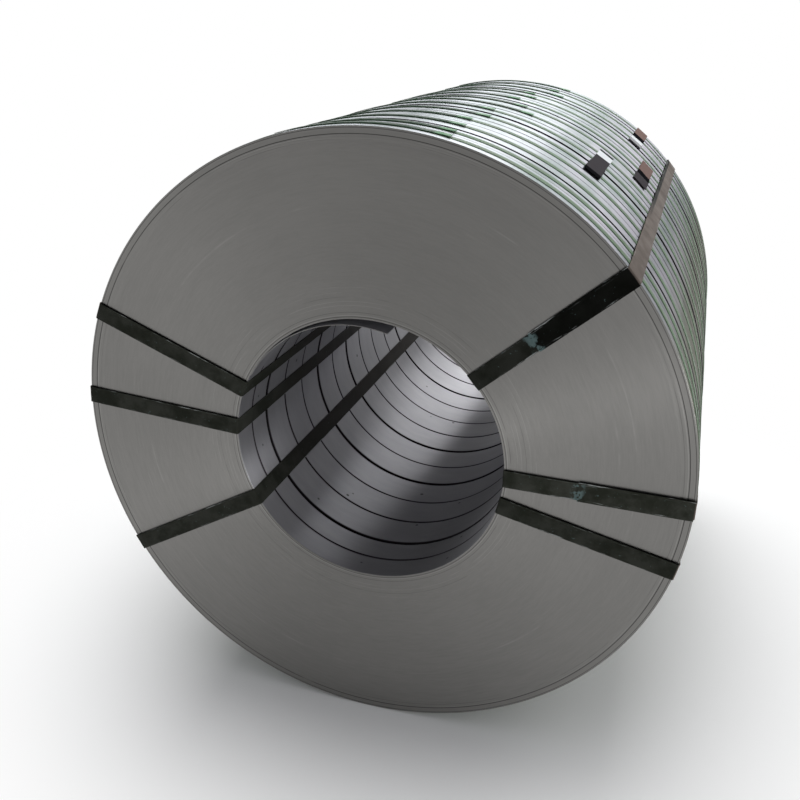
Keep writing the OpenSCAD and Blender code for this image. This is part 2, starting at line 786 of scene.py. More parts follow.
    def side_look(self, place: RoundPlace) -> Look:
        """Make the flat sides: a smooth dark bore with specks, a bright patchy skin, painted reflection
        tints and painted shade.

        Args:
            place: where the surface's points are.

        Returns:
            The look of the sides.
        """
        sheet = place.sheet
        on_skin = sheet.math("GREATER_THAN", place.radius, (self.bundle.bore_r + self.bundle.coil_r) / 2)
        rolled = place.drawn(place.depth, self.rolled)
        smears = place.drawn(place.depth, self.smears)
        patches = place.drawn(place.depth, self.patches)
        calm = sheet.step(sheet.weigh((rolled, 0.35), (smears, 0.65)), *self.calm_change)
        patchy = sheet.step(sheet.weigh((calm, 0.2), (patches, 0.8)), *self.patch_change)
        # Painted shade and reflection: darker, olive lower flank.
        low_down = sheet.step(place.up, *self.low_flank_rise, 1.0, 0.0)
        bore = sheet.blend(calm, self.bore_dark, self.bore_light)
        specks = sheet.specks(place.point, self.speck_spread, self.speck_size)
        bore = sheet.blend(sheet.times(specks, self.speck_strength), bore, self.speck)
        skin = sheet.blend(patchy, self.skin_dark, self.skin_light)
        skin = sheet.blend(sheet.times(low_down, self.low_flank_strength), skin, self.low_flank_shade)
        colour = sheet.blend(on_skin, bore, skin)
        # Painted reflection tint: mint toward the top, lilac lower down.
        lilac = sheet.times(sheet.step(place.up, *self.painted_mint_rise, 1.0, self.painted_lilac_left), patchy)
        sheen = sheet.blend(lilac, self.painted_mint_reflection, self.painted_lilac_reflection)
        sheen = sheet.blend(low_down, sheen, self.low_flank_reflection)
        glance = sheet.blend(on_skin, self.clean_glance, sheen)
        # Painted shade along the joints between coils.
        near_joint = sheet.math("ABSOLUTE", sheet.attribute("toward_joint"))
        seam_shaded = sheet.step(sheet.weigh((smears, self.seam_shade_rag), (near_joint, 1.0)), *self.seam_shade_from)
        return Look(colour=sheet.blend(seam_shaded, colour, self.seam_shade),
                    roughness=sheet.step(on_skin, 0.0, 1.0, self.bore_roughness, self.skin_roughness),
                    relief=sheet.times(rolled, self.rolled_relief),
                    glance=sheet.blend(seam_shaded, glance, self.seam_shade_glance))

    def material(self) -> Material:
        """Make the finish: ends where the surface faces along the axis, sides elsewhere.

        Returns:
            The material.
        """
        sheet = Sheet("strip_steel")
        place = RoundPlace(sheet, self.bundle.axis_z)
        _, facing, _ = sheet.parts(sheet.node("ShaderNodeNewGeometry").outputs["Normal"])
        on_end = sheet.step(sheet.math("ABSOLUTE", facing), *self.end_facing)
        on_side = sheet.math("SUBTRACT", 1.0, on_end)
        ends, sides = self.end_look(place), self.side_look(place)

        def mixed(end: Socket, side: Socket) -> Socket:
            """Take the ends' value on the ends and the sides' value elsewhere."""
            return sheet.math("MULTIPLY_ADD", end, on_end, sheet.times(side, on_side))

        relief = mixed(ends.relief, sides.relief)
        tangent = sheet.join(sheet.times(place.across, on_end), on_side, sheet.times(place.up, on_end))
        sheet.shade(Base_Color=sheet.blend(on_end, sides.colour, ends.colour), Metallic=1.0,
                    Roughness=mixed(ends.roughness, sides.roughness),
                    Normal=sheet.bump(relief, self.relief_height, self.relief_strength),
                    Specular_Tint=sheet.blend(on_end, sides.glance, ends.glance),
                    Tangent=tangent, Anisotropic=self.pull)
        return sheet.material


@dataclass(frozen=True)
class BandPlastic:
    """Ribbed green band: dusty where it lies flat, painted shade where it is doubled, a painted highlight
    at its free end.
    """

    bundle: Bundle
    green: Colour = (0.052, 0.104, 0.046)
    dusty: Colour = (0.118, 0.185, 0.115)
    # painted shade: the doubled end is painted dark, for the shade under its lifted tail
    doubled: Colour = (0.020, 0.052, 0.027)
    # painted highlight on the lifted tip of the free end
    free_end_highlight: Colour = (0.11, 0.25, 0.13)
    dust: Grain = Grain(16, 11, 3.0)
    dust_change: Pair = (0.38, 0.66)
    lap_shade_layer: Pair = (0.2, 0.8)
    free_end_highlight_layer: Pair = (1.35, 1.6)
    rib: float = 0.0028
    rib_height: float = 0.00012
    rib_strength: float = 0.5
    roughness: Pair = (0.28, 0.44)
    shine: float = 0.04

    def material(self) -> Material:
        """Make the finish.

        Returns:
            The material.
        """
        sheet = Sheet("band_plastic")
        place = RoundPlace(sheet, self.bundle.axis_z)
        dust = sheet.step(place.drawn(place.depth, self.dust), *self.dust_change)
        layer = sheet.attribute("layer")
        colour = sheet.blend(dust, self.green, self.dusty)
        # Painted shade on the doubled end.
        colour = sheet.blend(sheet.step(layer, *self.lap_shade_layer), colour, self.doubled)
        # Painted highlight on the lifted tip.
        colour = sheet.blend(sheet.step(layer, *self.free_end_highlight_layer), colour, self.free_end_highlight)
        turn = 2 * math.pi / self.rib
        along = sheet.math("SINE", sheet.times(place.angle, turn * self.bundle.coil_r))
        beside = sheet.math("SINE", sheet.times(place.depth, turn))
        ribs = sheet.bump(sheet.times(along, beside), self.rib_height, self.rib_strength)
        sheet.shade(Base_Color=colour, Roughness=sheet.step(dust, 0.0, 1.0, *self.roughness),
                    Specular_IOR_Level=self.shine, Normal=ribs)
        return sheet.material


class StrapEnds(Enum):
    """How a strap's ends show in front: its finish's name, and how light its wax and its lap are."""

    HIDDEN = ("strap_steel", 3.1, 3.1)
    LAPPED = ("strap_steel_lapped", 4.1, 4.1)
    OILED_LAP = ("strap_steel_oiled_lap", 2.0, 0.55)

    @property
    def has_lap(self) -> bool:
        """Whether the strap's ends overlap on the front face."""
        return self is not StrapEnds.HIDDEN


@dataclass(frozen=True)
class StrapSteel:
    """Dark waxed strapping: black on the faces, brown with painted sheen along the outside, scuffed at its
    edges and joint.
    """

    bundle: Bundle
    ends: StrapEnds
    joint_r: float
    black: Colour = (0.0055, 0.006, 0.0045)
    black_light: Colour = (0.012, 0.0125, 0.0105)
    # partly a brownish tint and partly painted reflection, for the outside run seen at a grazing angle
    brown: Colour = (0.135, 0.112, 0.097)
    bore_brown: Colour = (0.036, 0.032, 0.029)
    chip: Colour = (0.16, 0.235, 0.235)
    pale: Colour = (0.42, 0.44, 0.43)
    cloud_scale: float = 22.0
    cloud_change: Pair = (0.3, 0.7)
    wax_change: Pair = (0.35, 0.65)
    dark_rust: float = 0.35
    scuff_scale: Place = (9.0, 26.0, 9.0)     # across the strap, along the radius and along the depth
    scuff_height: float = 0.0003
    scuff_strength: float = 0.5
    scratch_scale: float = 160.0
    scratch_change: Pair = (0.68, 0.74)
    scratch_strength: float = 0.3
    edge_from: Pair = (0.84, 0.97)
    rubbed_change: Pair = (0.56, 0.66)
    rubbed_strength: float = 0.7
    flake_scale: float = 75.0
    flake_change: Pair = (0.47, 0.56)
    flake_strength: float = 0.6
    joint_soft: float = 0.002
    joint_core: float = 0.004
    joint_reach: float = 0.015
    front_depth: Pair = (0.02, 0.05)
    shaded_side_depth: Pair = (0.35, 0.6)
    shaded_side_from: Pair = (0.45, 0.6)            # where across the strap the painted shade along the outside starts
    outside_from: Pair = (-0.0015, 0.0006)
    bore_depth: Pair = (0.05, 0.45)
    bore_soft: float = 0.001
    roughness: Pair = (0.42, 0.58)
    shine: float = 0.02

    def material(self) -> Material:
        """Make the finish.

        Returns:
            The material.
        """
        name, _, _ = self.ends.value
        sheet = Sheet(name)
        place = RoundPlace(sheet, self.bundle.axis_z)
        across = sheet.attribute("across")
        cloud = sheet.noise(place.point, self.cloud_scale, detail=4.0, roughness=0.6)
        scaled = (sheet.times(value, scale)
                  for value, scale in zip((across, place.radius, place.depth), self.scuff_scale))
        scuffs = sheet.noise(sheet.join(*scaled), 1.0, detail=4.0, roughness=0.65)
        in_front = self.behind_front(place, self.front_depth, 1.0, 0.0)
        colour = self.wax_faces(place, cloud, in_front)
        colour = self.brown_and_sheen_runs(place, colour, cloud, across)
        colour = self.scuff_edges(place, colour, scuffs, across)
        if self.ends.has_lap:
            colour = self.chip_joint(place, colour, in_front)
        sheet.shade(Base_Color=colour, Metallic=0.0, Specular_IOR_Level=self.shine,
                    Roughness=sheet.step(cloud, *self.cloud_change, *self.roughness),
                    Normal=sheet.bump(scuffs, self.scuff_height, self.scuff_strength))
        return sheet.material

    def behind_front(self, place: RoundPlace, depths: Pair, start: float = 0.0, end: float = 1.0) -> Socket:
        """Change from one number to another between two depths behind the front face.

        Args:
            place: where the surface's points are.
            depths: the two depths.
            start: the number in front of them.
            end: the number behind them.

        Returns:
            The number.
        """
        low, high = (self.bundle.front_y + depth for depth in depths)
        return place.sheet.step(place.depth, low, high, start, end)

    def waxes(self, light: float) -> tuple[Colour, Colour]:
        """Give the darker and the lighter tone of the wax.

        Args:
            light: how light the wax is.

        Returns:
            The two tones.
        """
        dark, pale = (tuple(light * part for part in tone) for tone in (self.black, self.black_light))
        return dark, pale

    def wax_faces(self, place: RoundPlace, cloud: Socket, in_front: Socket) -> Socket:
        """Wax the strap, with another tone on the lap.

        Args:
            place: where the surface's points are.
            cloud: the wax's unevenness.
            in_front: 1 on the front face.

        Returns:
            The colour.
        """
        sheet = place.sheet
        _, *lights = self.ends.value
        patchy = sheet.step(cloud, *self.wax_change)
        wax, lap = (sheet.blend(patchy, *self.waxes(light)) for light in lights)
        low, high = self.joint_r - self.joint_soft, self.joint_r + self.joint_soft
        on_lap = sheet.times(sheet.step(place.radius, low, high), in_front)
        return sheet.blend(on_lap, wax, lap)

    def brown_and_sheen_runs(self, place: RoundPlace, colour: Socket, cloud: Socket, across: Socket) -> Socket:
        """Turn the strap light brown along the outside, partly a brown tint and partly painted sheen, and,
        deeper in, along the bore.

        Args:
            place: where the surface's points are.
            colour: the colour so far.
            cloud: the rust's unevenness.
            across: the place across the strap, from -1 to 1.

        Returns:
            The new colour.
        """
        sheet = place.sheet
        low, high = (self.bundle.coil_r + reach for reach in self.outside_from)
        darker = sheet.step(cloud, *self.cloud_change, 0.0, self.dark_rust)
        brown = sheet.blend(darker, self.brown, self.bore_brown)
        # Painted shade: one side of the outside run is painted black further back.
        shaded_side = sheet.times(sheet.step(across, *self.shaded_side_from),
                                  self.behind_front(place, self.shaded_side_depth))
        brown = sheet.blend(shaded_side, brown, self.black)
        colour = sheet.blend(sheet.step(place.radius, low, high), colour, brown)
        bore_r = self.bundle.bore_r
        inside = sheet.step(place.radius, bore_r - self.bore_soft, bore_r + self.bore_soft, 1.0, 0.0)
        deeper = sheet.times(inside, self.behind_front(place, self.bore_depth))
        return sheet.blend(deeper, colour, self.bore_brown)

    def scuff_edges(self, place: RoundPlace, colour: Socket, scuffs: Socket, across: Socket) -> Socket:
        """Rub the strap's edges bare in places and scratch it here and there.

        Args:
            place: where the surface's points are.
            colour: the colour so far.
            scuffs: where it is scuffed.
            across: the place across the strap, from -1 to 1.

        Returns:
            The new colour.
        """
        sheet = place.sheet
        at_edge = sheet.step(sheet.math("ABSOLUTE", across), *self.edge_from)
        rubbed = sheet.step(scuffs, *self.rubbed_change, 0.0, self.rubbed_strength)
        colour = sheet.blend(sheet.times(at_edge, rubbed), colour, self.pale)
        scratches = sheet.noise(place.point, self.scratch_scale, detail=2.0, roughness=0.7)
        scratched = sheet.step(scratches, *self.scratch_change, 0.0, self.scratch_strength)
        return sheet.blend(scratched, colour, self.chip)

    def chip_joint(self, place: RoundPlace, colour: Socket, in_front: Socket) -> Socket:
        """Flake the wax off round the end of the lap.

        Args:
            place: where the surface's points are.
            colour: the colour so far.
            in_front: 1 on the front face.

        Returns:
            The new colour.
        """
        sheet = place.sheet
        far = sheet.apart(place.radius, self.joint_r)
        near = sheet.step(far, self.joint_core, self.joint_reach, self.flake_strength, 0.0)
        flakes = sheet.noise(place.point, self.flake_scale, detail=4.0, roughness=0.7)
        flaked = sheet.times(sheet.times(near, in_front), sheet.step(flakes, *self.flake_change))
        return sheet.blend(flaked, colour, self.chip)


class TieTone(Enum):
    """The tones that a tie plate's steel takes along its length; the white and pale ones are painted
    highlights.
    """

    BLACK = (0.004, 0.004, 0.005)
    GREY = (0.052, 0.048, 0.052)
    BROWN = (0.17, 0.118, 0.105)
    # painted highlights of shiny steel
    WHITE = (0.66, 0.68, 0.7)
    PALE = (0.3, 0.3, 0.31)


@dataclass(frozen=True)
class TieSteel:
    """A tie plate's steel, which changes from stretch to stretch along the plate, with painted highlights
    in some stretches.
    """

    name: str
    stretches: tuple[tuple[float, TieTone], ...]
    cloud_scale: float = 30.0
    rag: float = 0.012                # how far the stretches' ends wander
    soft: float = 0.008
    cloud_change: Pair = (0.3, 0.7)
    brush_scale: Pair = (90.0, 900.0)
    brush_change: Pair = (0.35, 0.75)
    brush_height: float = 0.0002
    brush_strength: float = 0.5
    gleam: Colour = (0.5, 0.5, 0.5)
    gleam_strength: float = 0.02
    roughness: Pair = (0.45, 0.6)

    def material(self, start_y: float, length: float) -> Material:
        """Make the finish.

        Args:
            start_y: where the plate starts along Y.
            length: the plate's length.

        Returns:
            The material.
        """
        sheet = Sheet(self.name)
        point = sheet.node("ShaderNodeTexCoord").outputs["Object"]
        side, depth, _ = sheet.parts(point)
        cloud = sheet.noise(point, self.cloud_scale, detail=4.0, roughness=0.6)
        ragged = sheet.math("MULTIPLY_ADD", cloud, self.rag, depth)
        share = sheet.math("DIVIDE", sheet.math("SUBTRACT", ragged, start_y + self.rag / 2), length)
        colour: Any = self.stretches[0][1].value
        for start, tone in self.stretches[1:]:
            reached = sheet.step(share, start - self.soft, start + self.soft)
            colour = sheet.blend(reached, colour, tone.value)
        drawn = (sheet.times(value, scale) for value, scale in zip((side, depth), self.brush_scale))
        brushed = sheet.noise(sheet.join(*drawn, 0.0), 1.0, detail=2.0, roughness=0.6)
        gleams = sheet.step(brushed, *self.brush_change, 0.0, self.gleam_strength)
        colour = sheet.blend(gleams, colour, self.gleam)
        sheet.shade(Base_Color=colour, Metallic=0.0, Specular_IOR_Level=0.0,
                    Roughness=sheet.step(cloud, *self.cloud_change, *self.roughness),
                    Normal=sheet.bump(brushed, self.brush_height, self.brush_strength))
        return sheet.material


@dataclass(frozen=True)
class FloorPaint:
    """Matt white paint with a faint unevenness, which fades to plain white away from the bundle."""

    tone: Colour = (0.92, 0.92, 0.92)
    worn: Colour = (0.89, 0.89, 0.89)
    mottle: float = 0.8
    roughness: float = 0.9
    shine: float = 0.1
    fade: Pair = (0.6, 1.3)

    def material(self) -> Material:
        """Make the finish.

        Returns:
            The material.
        """
        sheet = Sheet("floor_paint")
        point = sheet.node("ShaderNodeTexCoord").outputs["Object"]
        mottled = sheet.blend(sheet.noise(point, self.mottle, detail=3.0), self.tone, self.worn)
        sheet.shade(Base_Color=mottled, Roughness=self.roughness, Specular_IOR_Level=self.shine)
        away = sheet.node("ShaderNodeVectorMath", operation="LENGTH")
        sheet.put(away.inputs[0], point)
        rays = sheet.node("ShaderNodeLightPath").outputs
        seen: Any = 0.0
        for ray in SEEN_RAYS:
            seen = sheet.math("MAXIMUM", rays[ray], seen)
        mix = sheet.node("ShaderNodeMixShader")
        share = sheet.times(seen, sheet.step(away.outputs["Value"], *self.fade))
        white = sheet.node("ShaderNodeEmission")
        for socket, value in zip(mix.inputs, (share, sheet.shader.outputs[0], white.outputs[0])):
            sheet.put(socket, value)
        sheet.put(sheet.output.inputs["Surface"], mix.outputs[0])
        return sheet.material


@dataclass
class SlitCoil:
    """One slit coil: strip wound into a ring, with its turns in relief where an end shows."""

    bundle: Bundle
    number: int
    outer_r: float
    edge_round: float = 0.0011
    edge_segments: int = 3
    bore_slack: float = 0.0006
    bore_seed: int = 200
    steps: int = 240
    turn_cuts: int = 150
    turn_seed: int = 11
    fine_depths: tuple[float, ...] = (0.0, 0.00001, 0.00002, 0.00004)
    rim_lines: tuple[float, ...] = (0.006, 0.0145, 0.0235)
    rim_depth: float = 0.0006
    eye_lines: tuple[float, ...] = (0.005, 0.011, 0.024, 0.031, 0.039, 0.048, 0.058)
    eye_depth: float = 0.00022

    @property
    def node(self) -> str:
        """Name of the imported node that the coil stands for."""
        return f"slit_coil_{self.number}"

    def build(self) -> Piece:
        """Draw the ring's section, press the turns into its ends and spin it round the axis.

        Returns:
            The finished ring.
        """
        low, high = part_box(self.node)
        sides = {End.FRONT: low[1], End.BACK: high[1]}
        width = high[1] - low[1]
        wall = self.outer_r - self.bundle.bore_r
        centre = (self.bundle.bore_r + wall / 2, (low[1] + high[1]) / 2, 0.0)
        piece = Bench.add_plane(f"wound_strip_{self.number}", centre, (wall, width), Lie.PROFILE)
        with Bench.shaping(piece):
            Bench.outline_only(self.edge_round, self.edge_segments)
            self.hold_edges(piece, centre, width)
            self.taper_bore(piece, centre[1])
            for end in self.open_ends():
                self.press_turns(piece, end, sides[end])
            Bench.turn(self.steps, 360)
            Bench.close_up()
        self.mark_joints(piece, sides)
        Bench.set_down(piece, self.bundle)
        return piece

    def open_ends(self) -> list[End]:
        """List the ends where no other coil stands against this one.

        Returns:
            The ends that show.
        """
        outermost = {End.FRONT: 1, End.BACK: self.bundle.coil_count}
        return [end for end, number in outermost.items() if number == self.number]

    def hold_edges(self, piece: Piece, centre: Place, width: float) -> None:
        """Add cuts close beside the rounded edges, so that the flat sides shade flat.

        Args:
            piece: the section in edit mode.
            centre: the section's middle.
            width: the coil's width.
        """
        Bench.pick(piece, Part.EDGE, lambda edge: abs(edge.verts[0].co.x - edge.verts[1].co.x) < TOUCH
                   and edge.calc_length() > width / 2)
        bpy.ops.mesh.subdivide(number_cuts=2)
        Bench.pick(piece, Part.VERT, lambda v: abs(v.co.y - centre[1]) < width / 4)
        run = width - 2 * self.edge_round
        cut_at, wanted = run / 6, run / 2 - self.edge_round
        bpy.ops.transform.resize(value=(1, wanted / cut_at, 1), center_override=centre)

    def taper_bore(self, piece: Piece, middle_y: float) -> None:
        """Open each side of the bore by its own small amount, as no two wound coils are quite alike.

        Args:
            piece: the section in edit mode.
            middle_y: where the coil's middle lies along Y.
        """
        chance = random.Random(self.bore_seed + self.number)
        at_bore = self.bundle.bore_r + 2 * self.edge_round
        for side in (-1, 1):
            Bench.pick(piece, Part.VERT, lambda v: v.co.x < at_bore and (v.co.y - middle_y) * side > 0)
            bpy.ops.transform.translate(value=(chance.uniform(0, self.bore_slack), 0, 0))

    def press_turns(self, piece: Piece, end: End, end_y: float) -> None:
        """Divide an end of the section into turns and press each a little into the coil.

        Args:
            piece: the section in edit mode.
            end: which end of the coil it is.
            end_y: where that end lies along Y.
        """
        inward = 1.0 if end is End.FRONT else -1.0
        rim = self.edge_round * 1.5
        Bench.pick(piece, Part.EDGE, lambda edge: all(abs(v.co.y - end_y) < TOUCH for v in edge.verts))
        bpy.ops.mesh.subdivide(number_cuts=self.turn_cuts)
        mesh = bmesh.from_edit_mesh(piece.data)
        turns = sorted(v.co.x for v in mesh.verts if abs(v.co.y - end_y) < TOUCH
                       and self.bundle.bore_r + rim < v.co.x < self.outer_r - rim)
        depths = self.turn_depths(turns, random.Random(self.turn_seed + end.value))
        for depth in sorted(set(depths.values()) - {0.0}):
            Bench.pick(piece, Part.VERT, lambda v: abs(v.co.y - end_y) < TOUCH
                       and depths.get(round(v.co.x, 6)) == depth)
            bpy.ops.transform.translate(value=(0, inward * depth, 0))

    def turn_depths(self, turns: list[float], chance: random.Random) -> dict[float, float]:
        """Choose how far each turn is pressed in: little by chance, and more at the rim and the eye.

        Args:
            turns: the turns' radii.
            chance: the source of the small depths.

        Returns:
            Each radius, rounded, with its depth.
        """
        depths = {round(radius, 6): chance.choice(self.fine_depths) for radius in turns}
        lines = [(self.outer_r - gap, self.rim_depth) for gap in self.rim_lines]
        lines += [(self.bundle.bore_r + gap, self.eye_depth) for gap in self.eye_lines]
        for wanted, depth in lines:
            nearest = min(turns, key=lambda radius: abs(radius - wanted))
            depths[round(nearest, 6)] = depth
        return depths

    def mark_joints(self, piece: Piece, sides: dict[End, float]) -> None:
        """Store how far each point is on its way to a joint: 1 or -1 at a joint, 0 where there is none.

        Args:
            piece: the ring.
            sides: where its two ends lie along Y.
        """
        open_ends = self.open_ends()
        start = sides[open_ends[0]] if open_ends else (sides[End.FRONT] + sides[End.BACK]) / 2
        reach = max(abs(y - start) for y in sides.values())
        marks = piece.data.attributes.new("toward_joint", "FLOAT", "POINT")
        for mark, vert in zip(marks.data, piece.data.vertices):
            mark.value = (vert.co.y - start) / reach


@dataclass
class LeadEnd:
    """The inner end of the front coil's strip, which springs off the bore wall."""

    bundle: Bundle
    thickness: float = 0.0014
    round_off: float = 0.0004
    round_segments: int = 2
    inset: float = 0.0006
    hang: float = 0.0235
    leaves_at: float = 150.0
    ends_at: float = 74.0
    steps: int = 60

    def build(self) -> Piece:
        """Spin a strip's section on a smaller circle that leaves the bore wall.

        Returns:
            The finished strip end.
        """
        low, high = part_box("slit_coil_1")
        width = high[1] - low[1] - 2 * self.inset
        centre = (self.bundle.bore_r - self.thickness / 2, (low[1] + high[1]) / 2, 0.0)
        piece = Bench.add_plane("strip_lead_end", centre, (self.thickness, width), Lie.PROFILE)
        with Bench.shaping(piece):
            Bench.outline_only(self.round_off, self.round_segments)
            Bench.turn(self.steps, self.ends_at - self.leaves_at, (self.hang, 0.0, 0.0))
            Bench.cap_ends(piece)
            Bench.close_up()
        Bench.set_down(piece, self.bundle, self.leaves_at)
        return piece


@dataclass
class PlasticBand:
    """The plastic band round the middle of a coil, with its doubled free end."""

    bundle: Bundle
    width: float
    round_off: float = 0.00025
    round_segments: int = 2
    steps: int = 240
    lap_degrees: float = 30.0
    lap_steps: int = 30
    lap_gap: float = 0.00035
    tail_stations: int = 5
    tail_lift: float = 0.0016
    free_end_at: float = 75.0
    free_end_scatter: float = 3.5

    def build(self) -> Piece:
        """Spin the ring and its doubled end, with the free end at angle 0.

        Returns:
            The band, round the Y axis at depth 0.
        """
        ring = self.sweep("band_ring", self.bundle.coil_r, self.steps, 360)
        lap = self.sweep("band_lap", self.bundle.band_top + self.lap_gap, self.lap_steps, self.lap_degrees)
        self.lift_tail(lap)
        self.mark_layer(ring, 0.0)
        self.mark_layer(lap, 1.0)
        return Bench.join([ring, lap])

    def sweep(self, name: str, inner_r: float, steps: int, degrees: float) -> Piece:
        """Spin the band's section on a radius and close its ends.

        Args:
            name: the piece's name.
            inner_r: radius of its inside.
            steps: number of steps.
            degrees: how far it goes round.

        Returns:
            The swept band.
        """
        thick = self.bundle.band_t
        piece = Bench.add_plane(name, (inner_r + thick / 2, 0, 0), (thick, self.width), Lie.PROFILE)
        with Bench.shaping(piece):
            Bench.outline_only(self.round_off, self.round_segments)
            Bench.turn(steps, degrees)
            if degrees < 360:
                Bench.cap_ends(piece)
            Bench.close_up()
        return piece

    def lift_tail(self, lap: Piece) -> None:
        """Lift the free end off the ring, station by station.

        Args:
            lap: the doubled end.
        """
        step = math.radians(self.lap_degrees / self.lap_steps)
        with Bench.shaping(lap):
            for station in range(self.tail_stations):
                angle = station * step
                lift = self.tail_lift * (1 - station / self.tail_stations) ** 2
                Bench.pick(lap, Part.VERT, lambda v: abs(math.atan2(v.co.z, v.co.x) - angle) < step / 2)
                bpy.ops.transform.translate(value=(lift * math.cos(angle), 0, lift * math.sin(angle)))

    def mark_layer(self, piece: Piece, layer: float) -> None:
        """Store which layer each point is on, with the lifted free end counted up to one more.

        Args:
            piece: the ring or the doubled end.
            layer: its layer.
        """
        marks = piece.data.attributes.new("layer", "FLOAT", "POINT")
        tail = math.radians(self.lap_degrees / self.lap_steps * self.tail_stations)
        for mark, vert in zip(marks.data, piece.data.vertices):
            angle = math.atan2(vert.co.z, vert.co.x)
            mark.value = layer + (max(0.0, 1 - angle / tail) if layer else 0.0)


@dataclass
class StrapPattern:
    """The plain belt and the plain lap that the straps are copied from, both at angle 0."""

    bundle: Bundle
    width: float = 0.032
    thickness: float = 0.0009
    stand: float = 0.003
    bend: float = 0.0035
    bend_segments: int = 4
    rows: int = 23
    columns: int = 3
    long_edge: float = 0.1    # only the edges along a run are longer
    lap_width: float = 0.036
    lap_r: float = 0.382
    lap_cuts: int = 9

    def lay_belt(self) -> Piece:
        """Extrude the front run over the outside, down the back and through the bore.

        Returns:
            The closed belt, as a sheet with no thickness yet.
        """
        inner_x = math.sqrt(self.bundle.bore_r ** 2 - (self.width / 2) ** 2)
        outer_x = self.bundle.band_top
        front = self.bundle.front_y - self.stand
        back = self.bundle.back_y + self.stand
        centre = ((inner_x + outer_x) / 2, front, 0)
        belt = Bench.add_plane("strap_belt", centre, (outer_x - inner_x, self.width), Lie.FRONT)
        with Bench.shaping(belt):
            Bench.pick(belt, Part.EDGE, lambda edge: all(v.co.x > centre[0] for v in edge.verts))
            for run in ((0, back - front, 0), (inner_x - outer_x, 0, 0), (0, front - back, 0)):
                bpy.ops.mesh.extrude_region_move(TRANSFORM_OT_translate={"value": run})
            Bench.close_up()
            Bench.pick(belt, Part.EDGE, self.runs_across)
            bpy.ops.mesh.bevel(offset=self.bend, segments=self.bend_segments, affect="EDGES")
            Bench.pick(belt, Part.EDGE, lambda edge: not self.runs_across(edge)
                       and edge.calc_length() > self.long_edge)
            bpy.ops.mesh.subdivide(number_cuts=self.rows)
            Bench.pick(belt, Part.EDGE, self.runs_across)
            bpy.ops.mesh.subdivide(number_cuts=self.columns)
            Bench.close_up()
        return belt

    def lay_lap(self) -> Piece:
        """Lay the overlapping end on the front run.

        Returns:
            The lap, as a sheet with no thickness yet.
        """
        outer_x = self.bundle.coil_r
        level = self.bundle.front_y - self.stand - self.thickness
        centre = ((self.lap_r + outer_x) / 2, level, 0)
        lap = Bench.add_plane("strap_lap", centre, (outer_x - self.lap_r, self.lap_width), Lie.FRONT)
        with Bench.shaping(lap):
            bpy.ops.mesh.select_all(action="SELECT")
            bpy.ops.mesh.subdivide(number_cuts=self.lap_cuts)
        return lap

    def runs_across(self, edge: bmesh.types.BMEdge) -> bool:
        """Say whether an edge runs across the strap.

        Args:
            edge: an edge of the belt.

        Returns:
            True if it does.
        """
        first, second = edge.verts
        return abs(first.co.z - second.co.z) > 0.9 * edge.calc_length()


@dataclass
class SteelStrap:
    """One steel strap: through the bore, over both ends and along the outside on top of the bands."""

    pattern: StrapPattern
    number: int
    degrees: float
    ends: StrapEnds
    ripple: float = 0.0002
    lap_seed: int = 40

    @property
    def node(self) -> str:
        """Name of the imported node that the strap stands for."""
        return f"strap_{self.number}"

    def build(self, belt: Piece, lap: Piece) -> Piece:
        """Copy the belt, and the lap where it has one, and set the strap at its angle.

        Args:
            belt: the plain belt.
            lap: the plain lap.

        Returns:
            The finished strap.
        """
        pieces = [self.roughen(Bench.copy(belt, f"strapping_{self.number}"), self.number)]
        if self.ends.has_lap:
            twin = Bench.copy(lap, f"strapping_lap_{self.number}")
            pieces.append(self.roughen(twin, self.lap_seed + self.number))
        piece = Bench.join(pieces)
        self.mark_width(piece)
        Bench.set_down(piece, self.pattern.bundle, self.degrees)
        return piece

    def roughen(self, sheet: Piece, seed: int) -> Piece:
        """Make a copied sheet a little uneven and give it its thickness.

        Args:
            sheet: the copy of the belt or the lap.
            seed: the unevenness to take.

        Returns:
            The same piece.
        """
        with Bench.shaping(sheet):
            Bench.ripple(self.ripple, seed)
        Bench.thicken(sheet, self.pattern.thickness)
        return sheet

    def mark_width(self, piece: Piece) -> None:
        """Store how far across the strap each point lies, from -1 to 1.

        Args:
            piece: the strap at angle 0.
        """
        marks = piece.data.attributes.new("across", "FLOAT", "POINT")
        for mark, vert in zip(marks.data, piece.data.vertices):
            mark.value = vert.co.z / (self.pattern.width / 2)


